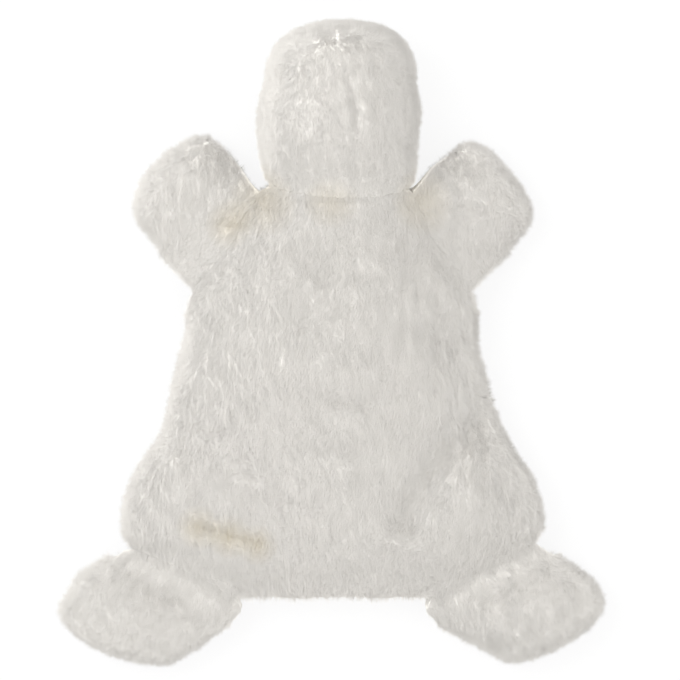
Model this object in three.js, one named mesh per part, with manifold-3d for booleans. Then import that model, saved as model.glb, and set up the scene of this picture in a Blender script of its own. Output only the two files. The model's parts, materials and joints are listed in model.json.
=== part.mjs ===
// A plush duck hand puppet, lying face down, as the sewn and stuffed pieces that it is made of.
// Millimetres, +Z up. The back looks up, the head points to +Y and the feet to -Y.
// The origin is on the surface it lies on, under the middle of its outline.
import * as THREE from "three";
import { ConvexGeometry } from "three/addons/geometries/ConvexGeometry.js";
import { mergeVertices } from "three/addons/utils/BufferGeometryUtils.js";
import Module from "manifold-3d";

const wasm = await Module();
wasm.setup();

// Cloth, filling and gaps
const plushWall = 4.5; // backing with its dense pile
const liningWall = 1.2;
const facingWall = 2.0; // the folded band inside the hem
const billWall = 2.4;
const layerGap = 0.3; // between layers that lie on each other
const jointGap = 0.8; // between a limb's round root and its seat in the body
const floorFlat = 0.5; // how deep the underside is pressed flat

// How finely the round forms are cut
const bodyAround = 28;
const headAround = 22;
const limbAround = 16;
const billAround = 14;
const pocketAround = 12;
const rootRings = 4;
const middleRings = 3;
const tipRings = 4;
const domeSteps = 3;
const sweepStep = 13; // degrees between the poses that a seat is cut for
const openEnd = 8; // how far a hollow runs past the open end that it makes

// The body's main sizes
const hemAt = -129; // where the body ends between the feet
const bodyLength = 199; // from hem to neck
const hipHalf = 105; // half the width over the hips
const backHeight = 46;
const bodySeamHeight = 14;

// Its outline as drawn on the pattern, from the hem: its two sides, and the height of its back.
// The main sizes say how large the pattern is made up
const bodyPattern = [
  { along: 0, left: 48, right: 50, top: 25 },
  { along: 10, left: 66, right: 64, top: 30 },
  { along: 19, left: 84, right: 80, top: 34 },
  { along: 26, left: 99, right: 97, top: 37 },
  { along: 36, left: 105, right: 105, top: 40 },
  { along: 54, left: 102, right: 102, top: 43 },
  { along: 79, left: 88, right: 88, top: 45 },
  { along: 104, left: 79.5, right: 79, top: 46 },
  { along: 131, left: 74, right: 73, top: 46 },
  { along: 155, left: 70, right: 70, top: 44 },
  { along: 175, left: 54, right: 55, top: 42 },
  { along: 189, left: 42, right: 44, top: 40 },
  { along: 199, left: 28, right: 36, top: 38 },
];
const patternLength = bodyPattern.at(-1).along;
const patternHalf = Math.max(...bodyPattern.map(({ left }) => left));
const patternHeight = Math.max(...bodyPattern.map(({ top }) => top));

// A place on the body, by where it is on the pattern
function bodyPlace(across, along, height) {
  const x = (across * hipHalf) / patternHalf;
  const y = hemAt + (along * bodyLength) / patternLength;
  return new THREE.Vector3(x, y, height);
}

const bodyStations = bodyPattern.map(({ along, left, right, top }) => ({
  y: bodyPlace(0, along, 0).y,
  left: bodyPlace(-left, along, 0).x,
  right: bodyPlace(right, along, 0).x,
  top: (top * backHeight) / patternHeight,
}));
const bodyBackFullness = 2.3; // 2 is an ellipse, more is boxier
const bodyBellyFullness = 3.2;
const hemFacingDepth = 12;
const liningShort = 4; // how far the lining stops short of the neck
const liningNeckEnd = hemAt + bodyLength - liningShort;

// The head, hinged at the neck. out is the way from its hinge, across is from side to side
const neckHeight = 20;
const headHinge = bodyPlace(4.5, 198.5, neckHeight);
const head = {
  hinge: headHinge,
  heading: 90,
  side: 1,
  around: headAround,
  rootHalf: 29,
  rootRadius: 17,
  fullness: 2.3,
  tipFullness: 2.6,
  stations: [
    { out: 0, low: -29, high: 29, top: 17, bottom: 17 },
    { out: 13, low: -36, high: 34.5, top: 27, bottom: 9 },
    { out: 29, low: -39.5, high: 36, top: 37, bottom: 8 },
    { out: 45, low: -41, high: 38, top: 41, bottom: 19 },
    { out: 60, low: -38, high: 36.5, top: 40, bottom: 20.5 },
  ],
  tip: { out: 91, across: -1, lift: 4 },
  range: [-18, 35],
};
const headSeamAcross = 2; // the middle seam of the back of the head

// The wings, hinged along the lines where they are sewn to the body's sides
const wingHeight = 11;
const wingLeft = {
  hinge: bodyPlace(-50.8, 179, wingHeight),
  heading: 140.6,
  side: 1,
  around: limbAround,
  rootHalf: 30,
  rootRadius: 10.6,
  fullness: 2.4,
  tipFullness: 2.1,
  stations: [
    { out: 0, low: -30, high: 30, top: 10.6, bottom: 10.6 },
    { out: 10, low: -29, high: 30.5, top: 13, bottom: 11.3 },
    { out: 20, low: -27.5, high: 33.5, top: 16.5, bottom: 11.5 },
    { out: 30, low: -25, high: 35, top: 17.5, bottom: 11.5 },
    { out: 37, low: -22.5, high: 34, top: 17, bottom: 11.5 },
  ],
  tip: { out: 54.5, across: 6, lift: 0 },
  range: [-20, 40],
};
const wingRight = {
  hinge: bodyPlace(52, 179.4, wingHeight),
  heading: 38.3,
  side: -1,
  around: limbAround,
  rootHalf: 30,
  rootRadius: 10.6,
  fullness: 2.4,
  tipFullness: 2.1,
  stations: [
    { out: 0, low: -30, high: 30, top: 10.6, bottom: 10.6 },
    { out: 10, low: -28.5, high: 30, top: 13, bottom: 11.3 },
    { out: 20, low: -28, high: 32, top: 16.5, bottom: 11.5 },
    { out: 29, low: -26, high: 32, top: 17.5, bottom: 11.5 },
    { out: 36, low: -24, high: 30.5, top: 17, bottom: 11.5 },
  ],
  tip: { out: 51.5, across: 4, lift: 0 },
  range: [-20, 40],
};

// The feet, hinged along the slanting creases at the corners of the hem
const footHeight = 11.5;
const footLeft = {
  hinge: bodyPlace(-76.5, 10, footHeight),
  heading: 245.7,
  side: -1,
  around: limbAround,
  rootHalf: 33,
  rootRadius: 11,
  fullness: 2.3,
  tipFullness: 2.1,
  stations: [
    { out: 0, low: -33, high: 33, top: 11, bottom: 11 },
    { out: 9, low: -40, high: 29.5, top: 14.5, bottom: 11.8 },
    { out: 18, low: -47, high: 26, top: 18, bottom: 12 },
    { out: 27, low: -49, high: 22, top: 18.5, bottom: 12 },
    { out: 34, low: -48.5, high: 16, top: 17, bottom: 12 },
  ],
  tip: { out: 47.8, across: -19, lift: 0 },
  range: [-30, 40],
};
const footRight = {
  hinge: bodyPlace(77.8, 12.4, footHeight),
  heading: 297.2,
  side: 1,
  around: limbAround,
  rootHalf: 33,
  rootRadius: 11,
  fullness: 2.3,
  tipFullness: 2.1,
  stations: [
    { out: 0, low: -33, high: 33, top: 11, bottom: 11 },
    { out: 9, low: -38.5, high: 32, top: 14.5, bottom: 11.8 },
    { out: 18, low: -43, high: 27.5, top: 18, bottom: 12 },
    { out: 27, low: -46.5, high: 22.5, top: 18.5, bottom: 12 },
    { out: 35, low: -46, high: 15.5, top: 17, bottom: 12 },
  ],
  tip: { out: 48, across: -15, lift: 0 },
  range: [-30, 40],
};

// The finger pockets, through the hinges, with a mouth that flares into the hand's room
const headPocket = { half: 12.5, halfHeight: 9, length: 52, flare: 4 };
const pocketFullness = 2.2;
const wingPocket = { half: 15, halfHeight: 5.6, length: 32, flare: 4.5 };

// The bill, a flat pad tucked back under the chin
const billHeight = 6.6;
const billRootOut = 37; // from the neck's hinge
const bill = {
  heading: 270,
  side: 1,
  around: billAround,
  rootHalf: 17,
  rootRadius: 6,
  fullness: 2.4,
  tipFullness: 2.3,
  stations: [
    { out: 0, low: -17, high: 17, top: 6, bottom: 6 },
    { out: 8, low: -18.5, high: 18.5, top: 5.8, bottom: 6.6 },
    { out: 16, low: -20.5, high: 20.5, top: 5.4, bottom: 7 },
  ],
  tip: { out: 26, across: 0, lift: -1 },
};

// The eyes, pushed through the face and held by a washer inside
const eyeRadius = 5;
const eyeRise = 2.8;
const eyeSink = 0.8;
const shankRadius = 1.8;
const shankLength = 9;
const washerRadius = 6;
const washerThickness = 1.4;
const shankFit = 0.2; // between the shank and its washer
const eyeOut = 49; // from the neck's hinge
const eyeTurn = 38; // degrees below the head's widest line

const reach = 400; // larger than the whole puppet

const degrees = Math.PI / 180;

// A closed mesh as a solid that can be joined and cut
function solid(geometry) {
  const bare = geometry.clone();
  bare.deleteAttribute("normal");
  bare.deleteAttribute("uv");
  const merged = mergeVertices(bare, 1e-4);
  const vertProperties = merged.attributes.position.array;
  const triVerts = new Uint32Array(merged.index.array);
  return new wasm.Manifold(new wasm.Mesh({ numProp: 3, vertProperties, triVerts }));
}

// A solid back as a mesh's geometry
function geometryOf(body) {
  const mesh = body.getMesh();
  const geometry = new THREE.BufferGeometry();
  geometry.setAttribute("position", new THREE.BufferAttribute(mesh.vertProperties, 3));
  geometry.setIndex(new THREE.BufferAttribute(mesh.triVerts, 1));
  return geometry;
}

// The largest of the bodies that a cut leaves: the others are offcuts
function mainBody(body) {
  const parts = body.decompose();
  parts.sort((a, b) => b.volume() - a.volume());
  return parts[0];
}

// A block between two heights or two distances across, to cut a form at a seam
function slab(low, high) {
  const size = new THREE.Vector3().subVectors(high, low);
  const geometry = new THREE.BoxGeometry(size.x, size.y, size.z);
  geometry.translate(low.x + size.x / 2, low.y + size.y / 2, low.z + size.z / 2);
  return solid(geometry);
}

function above(height) {
  return slab(new THREE.Vector3(-reach, -reach, height), new THREE.Vector3(reach, reach, reach));
}

function below(height) {
  return slab(new THREE.Vector3(-reach, -reach, -reach), new THREE.Vector3(reach, reach, height));
}

// A closed skin over rings of points, with a point in the middle of each end
function loft(start, rings, end) {
  const around = rings[0].length;
  const positions = [start, ...rings.flat(), end].flatMap((point) => point.toArray());
  const endIndex = 1 + rings.length * around;
  const index = [];
  for (let i = 0; i < around; i++) {
    const next = (i + 1) % around;
    index.push(0, 1 + i, 1 + next);
    for (let j = 0; j < rings.length - 1; j++) {
      const near = 1 + j * around;
      const far = near + around;
      index.push(near + i, far + i, near + next);
      index.push(near + next, far + i, far + next);
    }
    const last = endIndex - around;
    index.push(last + i, endIndex, last + next);
  }
  const geometry = new THREE.BufferGeometry();
  geometry.setAttribute("position", new THREE.Float32BufferAttribute(positions, 3));
  geometry.setIndex(index);
  return geometry;
}

// One swelled section: an ellipse made fuller, with its own height above and below the seam
function sectionPoint(section, out, turn) {
  const across = Math.cos(turn);
  const up = Math.sin(turn);
  const power = 2 / (up > 0 ? section.fullness : section.underFullness ?? section.fullness);
  const height = up > 0 ? section.top : section.bottom;
  return new THREE.Vector3(
    section.middle + section.half * Math.sign(across) * Math.abs(across) ** power,
    out,
    height * Math.sign(up) * Math.abs(up) ** power,
  );
}

function sectionRing(section, out, around) {
  return Array.from({ length: around }, (_, i) =>
    sectionPoint(section, out, (i / around) * 2 * Math.PI),
  );
}

// A smooth curve through the stations' values, by the named distance
function smoothStations(stations, along, names) {
  const places = stations.map((station) => station[along]);
  const values = stations.flatMap((station) => names.map((name) => station[name]));
  const curve = new THREE.CubicInterpolant(places, values, names.length);
  return (place) => Array.from(curve.evaluate(place));
}

// The body's form, grown or shrunk, between two places along it
const bodyCurve = smoothStations(bodyStations, "y", ["left", "right", "top"]);

function bodyForm(grow, from, to) {
  const between = bodyStations.map(({ y }) => y).filter((y) => y > from && y < to);
  const rings = [from, ...between, to].map((y) => {
    const [left, right, top] = bodyCurve(y);
    const section = {
      middle: (left + right) / 2,
      half: (right - left) / 2 + grow,
      top: top - bodySeamHeight + grow,
      bottom: bodySeamHeight + floorFlat + grow,
      fullness: bodyBackFullness,
      underFullness: bodyBellyFullness,
    };
    return sectionRing(section, y, bodyAround);
  });
  const start = new THREE.Vector3(0, from, 0);
  const end = new THREE.Vector3(0, to, 0);
  return solid(loft(start, rings, end).translate(0, 0, bodySeamHeight));
}

// A limb's section at a distance from its hinge
function limbSection(limb, out, grow) {
  const names = ["low", "high", "top", "bottom"];
  const [low, high, top, bottom] = smoothStations(limb.stations, "out", names)(out);
  const rounding = Math.min(out / limb.stations[1].out, 1);
  return {
    middle: (limb.side * (low + high)) / 2,
    half: (high - low) / 2 + grow,
    top: top + grow,
    bottom: bottom + grow,
    fullness: 2 + (limb.fullness - 2) * rounding,
  };
}

// The round root, which turns in its seat, then the stations, then the rounded tip
function limbGeometry(limb, grow) {
  const rings = [];
  const around = limb.around;
  const radius = limb.rootRadius + grow;
  for (let i = 1; i <= rootRings; i++) {
    const turn = ((i / rootRings) * Math.PI) / 2;
    const share = Math.sin(turn);
    const half = (limb.rootHalf + grow) * share;
    const height = radius * share;
    const section = { middle: 0, half, top: height, bottom: height, fullness: 2 };
    rings.push(sectionRing(section, -radius * Math.cos(turn), around));
  }
  const lastOut = limb.stations.at(-1).out;
  for (let i = 1; i <= middleRings; i++) {
    const out = (lastOut * i) / middleRings;
    rings.push(sectionRing(limbSection(limb, out, grow), out, around));
  }
  const last = limbSection(limb, lastOut, grow);
  const { out: tipOut, across, lift } = limb.tip;
  for (let i = 1; i < tipRings; i++) {
    const turn = ((i / tipRings) * Math.PI) / 2;
    const gone = Math.sin(turn) ** (2 / limb.tipFullness);
    const left = Math.cos(turn) ** (2 / limb.tipFullness);
    const section = {
      middle: THREE.MathUtils.lerp(last.middle, limb.side * across, gone),
      half: last.half * left,
      top: lift + (last.top - lift) * left,
      bottom: -lift + (last.bottom + lift) * left,
      fullness: last.fullness,
    };
    rings.push(sectionRing(section, lastOut + (tipOut + grow - lastOut) * gone, around));
  }
  const start = new THREE.Vector3(0, -radius, 0);
  const end = new THREE.Vector3(limb.side * across, tipOut + grow, lift);
  return loft(start, rings, end);
}

// The finger's room in a limb, from a flared mouth behind the hinge to a round end
function pocketGeometry(pocket, mouthOut, mouthEnd, grow) {
  const half = pocket.half + grow;
  const height = pocket.halfHeight + grow;
  const section = { middle: 0, half, top: height, bottom: height, fullness: pocketFullness };
  const mouth = { ...section, half: half + pocket.flare };
  const endStart = pocket.length - pocket.halfHeight;
  const rings = [sectionRing(mouth, mouthEnd, pocketAround)];
  rings.push(sectionRing(mouth, mouthOut, pocketAround));
  rings.push(sectionRing(section, 0, pocketAround));
  for (let i = 0; i < domeSteps; i++) {
    const turn = ((i / domeSteps) * Math.PI) / 2;
    const left = Math.cos(turn);
    const out = endStart + height * Math.sin(turn);
    const closing = { ...section, half: half * left, top: height * left, bottom: height * left };
    rings.push(sectionRing(closing, out, pocketAround));
  }
  const start = new THREE.Vector3(0, mouthEnd, 0);
  const end = new THREE.Vector3(0, endStart + height, 0);
  return loft(start, rings, end);
}

// Where a limb's own frame stands: across is its x, out its y and up its z
function limbFrame(limb, lift = 0) {
  const turn = new THREE.Matrix4().makeRotationZ((limb.heading - 90) * degrees);
  const flap = new THREE.Matrix4().makeRotationX(lift * degrees);
  return turn.multiply(flap).setPosition(limb.hinge);
}

function limbSolid(limb, grow) {
  return solid(limbGeometry(limb, grow).applyMatrix4(limbFrame(limb)));
}

// All that a limb passes through over its range, with the joint's gap round it
function limbSweep(limb) {
  const [low, high] = limb.range;
  const steps = Math.ceil((high - low) / sweepStep);
  const places = limbGeometry(limb, jointGap).getAttribute("position");
  const points = Array.from({ length: places.count }, (_, i) =>
    new THREE.Vector3().fromBufferAttribute(places, i),
  );
  // The root is round about the hinge, so it turns on the spot and is taken once
  const swept = points.map((point) => point.clone().applyMatrix4(limbFrame(limb)));
  const moving = points.filter((point) => point.y > 0);
  for (let i = 0; i <= steps; i++) {
    const frame = limbFrame(limb, low + ((high - low) * i) / steps);
    swept.push(...moving.map((point) => point.clone().applyMatrix4(frame)));
  }
  return solid(new ConvexGeometry(swept));
}

// A skin in two halves, sewn at a level seam
function splitSkin(outer, inner, seamHeight) {
  const skin = outer.intersect(above(0)).subtract(inner);
  return {
    upper: mainBody(skin.intersect(above(seamHeight + layerGap / 2))),
    lower: mainBody(skin.intersect(below(seamHeight - layerGap / 2))),
  };
}

const plushColour = 0xe6e1da;
const fibreColour = 0xf1f0ec;
const liningColour = 0xe9e4d8;
const billColour = 0xe3a548;
const eyeColour = 0x17151a;
const washerColour = 0xf4f4f2;

function cloth(color, roughness = 0.95) {
  return new THREE.MeshStandardMaterial({ color, roughness, metalness: 0 });
}

const materials = {
  plush: () => cloth(plushColour),
  fibre: () => cloth(fibreColour, 1),
  lining: () => cloth(liningColour, 0.85),
  bill: () => cloth(billColour, 0.9),
  eye: () => cloth(eyeColour, 0.2),
  washer: () => cloth(washerColour, 0.45),
};

const puppet = new THREE.Group();

// A named piece, kept in the frame of the group that carries it
function addPiece(group, name, body, material) {
  group.updateMatrixWorld(true);
  const geometry = geometryOf(body).applyMatrix4(group.matrixWorld.clone().invert());
  geometry.computeVertexNormals();
  const mesh = new THREE.Mesh(geometry, material());
  mesh.name = name;
  group.add(mesh);
}

// A group that stands at a limb's hinge and turns about it as the limb does
function limbGroup(limb) {
  const group = new THREE.Group();
  group.position.copy(limb.hinge);
  group.rotation.z = (limb.heading - 90) * degrees;
  puppet.add(group);
  return group;
}

// The body: back and belly of plush, each with its lining, and the band inside the hem
function buildBody() {
  const hem = bodyStations[0].y;
  const neck = bodyStations.at(-1).y;
  const limbs = [wingLeft, wingRight, footLeft, footRight];
  const seats = limbs.reduce((all, limb) => all.add(limbSweep(limb)), limbSweep(head));
  const room = (inset) => bodyForm(-inset, hem - openEnd, neck + openEnd);
  const plush = splitSkin(bodyForm(0, hem, neck), room(plushWall).add(seats), bodySeamHeight);
  addPiece(puppet, "body_back_panel", plush.upper, materials.plush);
  addPiece(puppet, "body_belly_panel", plush.lower, materials.plush);

  const liningInset = plushWall + layerGap;
  const facingEnd = hem + hemFacingDepth;
  const lined = bodyForm(-liningInset, facingEnd + layerGap, liningNeckEnd);
  const hollow = room(liningInset + liningWall).add(seats);
  const lining = splitSkin(lined, hollow, bodySeamHeight);
  addPiece(puppet, "lining_back", lining.upper, materials.lining);
  addPiece(puppet, "lining_belly", lining.lower, materials.lining);

  const band = bodyForm(-liningInset, hem + layerGap, facingEnd);
  const facing = band.subtract(room(liningInset + facingWall).add(seats));
  addPiece(puppet, "hem_facing", mainBody(facing), materials.plush);
}

// The thin pocket that a finger goes into, and the room that it takes from the filling
function pocketSolids(limb, pocket) {
  const mouthOut = -limb.rootRadius;
  const form = (grow, past) => {
    const geometry = pocketGeometry(pocket, mouthOut, mouthOut - past, grow);
    return solid(geometry.applyMatrix4(limbFrame(limb)));
  };
  const inside = form(-liningWall, 2 * openEnd);
  return { lining: form(0, openEnd).subtract(inside), room: form(layerGap, 2 * openEnd) };
}

// A wing: two plush panels, filling, and a lined pocket for a finger
function buildWing(name, limb) {
  const group = limbGroup(limb);
  const outer = limbSolid(limb, 0);
  const pocket = pocketSolids(limb, wingPocket);
  const inner = limbSolid(limb, -plushWall);
  const skin = splitSkin(outer, inner.add(pocket.room), wingHeight);
  addPiece(group, `${name}_back_panel`, skin.upper, materials.plush);
  addPiece(group, `${name}_under_panel`, skin.lower, materials.plush);
  const filling = limbSolid(limb, -plushWall - layerGap).subtract(pocket.room);
  addPiece(group, `${name}_filling`, mainBody(filling), materials.fibre);
  addPiece(group, `${name}_finger_pocket`, mainBody(pocket.lining.intersect(outer)), materials.lining);
}

// A foot: two plush panels round a full filling
function buildFoot(name, limb) {
  const group = limbGroup(limb);
  const skin = splitSkin(limbSolid(limb, 0), limbSolid(limb, -plushWall), footHeight);
  addPiece(group, `${name}_top_panel`, skin.upper, materials.plush);
  addPiece(group, `${name}_sole_panel`, skin.lower, materials.plush);
  addPiece(group, `${name}_filling`, limbSolid(limb, -plushWall - layerGap), materials.fibre);
}

// An eye and its washer on the surface of the face, at one side of it
function eyeSolids(side) {
  const turn = (side > 0 ? -eyeTurn : 180 + eyeTurn) * degrees;
  const section = limbSection(head, eyeOut, 0);
  const at = sectionPoint(section, eyeOut, turn);
  const before = sectionPoint(section, eyeOut, turn - degrees);
  const after = sectionPoint(section, eyeOut, turn + degrees);
  const along = after.sub(before).normalize();
  const normal = new THREE.Vector3(along.z, 0, -along.x);
  const place = new THREE.Matrix4().makeRotationFromQuaternion(
    new THREE.Quaternion().setFromUnitVectors(new THREE.Vector3(0, 1, 0), normal),
  );
  place.setPosition(at.add(headHinge));
  const turned = (points) => {
    const profile = points.map(([r, y]) => new THREE.Vector2(r, y));
    return solid(new THREE.LatheGeometry(profile, pocketAround).applyMatrix4(place));
  };
  const eye = (grow) => {
    const rim = eyeRadius + grow;
    const base = -eyeSink - grow;
    const dome = [];
    for (let i = 0; i < domeSteps; i++) {
      const lift = ((i / domeSteps) * Math.PI) / 2;
      dome.push([rim * Math.cos(lift), (eyeRise + grow) * Math.sin(lift)]);
    }
    dome.push([0, eyeRise + grow]);
    const shank = shankRadius + grow;
    const end = -shankLength - grow;
    return turned([[0, end], [shank, end], [shank, base], [rim, base], ...dome]);
  };
  const washer = (bore, grow) => {
    const top = -plushWall - layerGap + grow;
    const bottom = top - washerThickness - 2 * grow;
    const rim = washerRadius + grow;
    return turned([[bore, bottom], [rim, bottom], [rim, top], [bore, top], [bore, bottom]]);
  };
  return {
    eye: eye(0),
    washer: washer(shankRadius + shankFit, 0),
    room: eye(layerGap).add(washer(shankRadius / 2, layerGap)),
  };
}

// The bill: two soft panels round a thin filling, sewn to the face under the chin
function buildBill(group, headOuter) {
  const root = new THREE.Vector3(headHinge.x, headHinge.y + billRootOut, billHeight);
  const form = { ...bill, hinge: root };
  const outer = limbSolid(form, 0).subtract(headOuter);
  const skin = splitSkin(outer, limbSolid(form, -billWall), billHeight);
  addPiece(group, "bill_upper_panel", skin.upper, materials.bill);
  addPiece(group, "bill_lower_panel", skin.lower, materials.bill);
  const filling = limbSolid(form, -billWall - layerGap).subtract(headOuter);
  addPiece(group, "bill_filling", mainBody(filling), materials.fibre);
}

// The head: two back panels, the face, the filling, the finger's pocket, the eyes and the bill
function buildHead() {
  const group = limbGroup(head);
  const outer = limbSolid(head, 0);
  const inner = limbSolid(head, -plushWall);
  const pocket = pocketSolids(head, headPocket);
  const eyes = { left: eyeSolids(-1), right: eyeSolids(1) };
  const eyeRoom = eyes.left.room.add(eyes.right.room);
  const skin = splitSkin(outer, inner.add(pocket.room), neckHeight);
  const seam = headHinge.x + headSeamAcross;
  const far = new THREE.Vector3(reach, reach, reach);
  const rightOfSeam = slab(new THREE.Vector3(seam + layerGap / 2, -reach, -reach), far);
  const leftOfSeam = slab(far.clone().negate(), new THREE.Vector3(seam - layerGap / 2, reach, reach));
  addPiece(group, "head_back_left_panel", mainBody(skin.upper.intersect(leftOfSeam)), materials.plush);
  addPiece(group, "head_back_right_panel", mainBody(skin.upper.intersect(rightOfSeam)), materials.plush);
  addPiece(group, "face_panel", mainBody(skin.lower.subtract(eyeRoom)), materials.plush);
  const filling = limbSolid(head, -plushWall - layerGap);
  const room = pocket.room.add(eyeRoom);
  addPiece(group, "head_filling", mainBody(filling.subtract(room)), materials.fibre);
  addPiece(group, "head_finger_pocket", mainBody(pocket.lining.intersect(outer)), materials.lining);
  for (const [side, { eye, washer }] of Object.entries(eyes)) {
    addPiece(group, `eye_${side}`, eye, materials.eye);
    addPiece(group, `eye_washer_${side}`, washer, materials.washer);
  }
  buildBill(group, limbSolid(head, layerGap));
}

buildBody();
buildHead();
buildWing("wing_left", wingLeft);
buildWing("wing_right", wingRight);
buildFoot("foot_left", footLeft);
buildFoot("foot_right", footRight);

export default puppet;
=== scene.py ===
"""Plush duck hand puppet, laid face down: its plush, pile, lining, filling, bill and eyes."""
import functools
import json
import math

import bpy
import numpy as np
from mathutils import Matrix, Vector


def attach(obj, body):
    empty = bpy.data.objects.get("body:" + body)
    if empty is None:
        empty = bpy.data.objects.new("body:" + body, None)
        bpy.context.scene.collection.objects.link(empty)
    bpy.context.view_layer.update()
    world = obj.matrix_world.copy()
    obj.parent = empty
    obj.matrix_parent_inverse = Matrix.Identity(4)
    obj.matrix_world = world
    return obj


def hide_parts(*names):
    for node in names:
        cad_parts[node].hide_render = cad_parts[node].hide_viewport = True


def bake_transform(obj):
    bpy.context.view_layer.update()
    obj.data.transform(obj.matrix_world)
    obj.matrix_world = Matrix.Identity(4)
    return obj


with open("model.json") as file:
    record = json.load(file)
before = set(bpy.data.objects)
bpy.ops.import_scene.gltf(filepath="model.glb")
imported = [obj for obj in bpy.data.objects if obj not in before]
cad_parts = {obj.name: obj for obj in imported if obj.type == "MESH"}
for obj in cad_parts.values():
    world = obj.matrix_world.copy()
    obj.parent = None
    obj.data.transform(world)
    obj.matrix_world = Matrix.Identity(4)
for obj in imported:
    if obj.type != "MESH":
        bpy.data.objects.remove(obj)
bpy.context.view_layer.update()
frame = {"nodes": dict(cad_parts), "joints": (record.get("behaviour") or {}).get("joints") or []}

bl_info = {
    "name": "Plush Duck Puppet",
    "version": (1, 0, 0),
    "blender": (4, 5, 0),
    "location": "View3D > Sidebar > Puppet",
    "description": "Dresses the puppet's frame in plush skins, pile, lining, a bill and eyes",
    "category": "Object",
}

MM = 0.001
UP = np.array([0.0, 0.0, 1.0])


# The forms, in millimetres: those of the solids, brought closer to the picture in places

HEM_AT = -129.0
BODY_SEAM_HEIGHT = 14.0
BODY_BACK_FULLNESS = 2.3
BODY_BELLY_FULLNESS = 3.2
BODY_BELLY_DEPTH = BODY_SEAM_HEIGHT + 0.5

# From the hem on: the body's two sides and the height of its back
BODY_SHAPE = (
    dict(along=0, left=48, right=50, top=25),
    dict(along=10, left=66, right=64, top=30),
    dict(along=19, left=84, right=80, top=34),
    dict(along=26, left=99, right=97, top=37),
    dict(along=36, left=105, right=105, top=40),
    dict(along=54, left=102, right=102, top=43),
    dict(along=79, left=88, right=88, top=45),
    dict(along=104, left=79.5, right=79, top=46),
    dict(along=131, left=74, right=73, top=46),
    dict(along=155, left=70, right=70, top=44),
    dict(along=175, left=54, right=55, top=42),
    dict(along=189, left=42, right=44, top=40),
    dict(along=199, left=28, right=36, top=38),
)

# Each limb by its distance out from its hinge: its two edges, and its height over and under its seam
LIMBS = {
    "head": dict(
        joint="neck_nod", side=1, root_radius=17, fullness=2.3, tip_fullness=2.35,
        stations=(
            dict(out=0, low=-29, high=29, top=17, bottom=17),
            dict(out=13, low=-38, high=37, top=27, bottom=9),
            dict(out=29, low=-41.5, high=38, top=37, bottom=8),
            dict(out=45, low=-42, high=38.5, top=41, bottom=19),
            dict(out=60, low=-38.5, high=36.5, top=40, bottom=20.5),
        ),
        tip=dict(out=90, across=1, lift=4),
    ),
    "wing_left": dict(
        joint="wing_left_flap", side=1, root_radius=10.6, fullness=2.4, tip_fullness=2.1,
        stations=(
            dict(out=0, low=-30, high=30, top=10.6, bottom=10.6),
            dict(out=10, low=-29, high=30.5, top=13, bottom=11.3),
            dict(out=20, low=-27.5, high=33.5, top=16.5, bottom=11.5),
            dict(out=30, low=-25, high=35, top=17.5, bottom=11.5),
            dict(out=37, low=-22.5, high=34, top=17, bottom=11.5),
        ),
        tip=dict(out=54.5, across=6, lift=0),
    ),
    "wing_right": dict(
        joint="wing_right_flap", side=-1, root_radius=10.6, fullness=2.4, tip_fullness=2.1,
        stations=(
            dict(out=0, low=-30, high=30, top=10.6, bottom=10.6),
            dict(out=10, low=-28.5, high=30, top=13, bottom=11.3),
            dict(out=20, low=-28, high=32, top=16.5, bottom=11.5),
            dict(out=29, low=-26, high=32, top=17.5, bottom=11.5),
            dict(out=36, low=-24, high=30.5, top=17, bottom=11.5),
        ),
        tip=dict(out=50.5, across=4, lift=0),
    ),
    "foot_left": dict(
        joint="foot_left_flap", side=-1, root_radius=11, fullness=2.3, tip_fullness=2.1,
        stations=(
            dict(out=0, low=-34, high=36, top=11, bottom=11),
            dict(out=9, low=-41.5, high=32.5, top=14.5, bottom=11.8),
            dict(out=18, low=-47, high=26, top=18, bottom=12),
            dict(out=27, low=-48, high=21, top=18.5, bottom=12),
            dict(out=34, low=-48.5, high=16, top=17, bottom=12),
        ),
        tip=dict(out=47.8, across=-19, lift=0),
    ),
    "foot_right": dict(
        joint="foot_right_flap", side=1, root_radius=11, fullness=2.3, tip_fullness=2.1,
        stations=(
            dict(out=0, low=-32, high=37, top=11, bottom=11),
            dict(out=9, low=-37, high=34.5, top=14.5, bottom=11.8),
            dict(out=18, low=-42, high=28, top=18, bottom=12),
            dict(out=27, low=-46, high=21.5, top=18.5, bottom=12),
            dict(out=35, low=-46, high=15.5, top=17, bottom=12),
        ),
        tip=dict(out=48, across=-15, lift=0),
    ),
}

# The bill, folded back under the chin
BILL = dict(
    root_out=37, height=6.6, inset=0.3, side=1, root_radius=6, fullness=2.4, tip_fullness=2.3,
    stations=(
        dict(out=0, low=-17, high=17, top=6, bottom=6),
        dict(out=8, low=-18.5, high=18.5, top=5.8, bottom=6.6),
        dict(out=16, low=-20.5, high=20.5, top=5.4, bottom=7),
    ),
    tip=dict(out=26, across=0, lift=-1),
)


# Settings that a user would change

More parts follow.
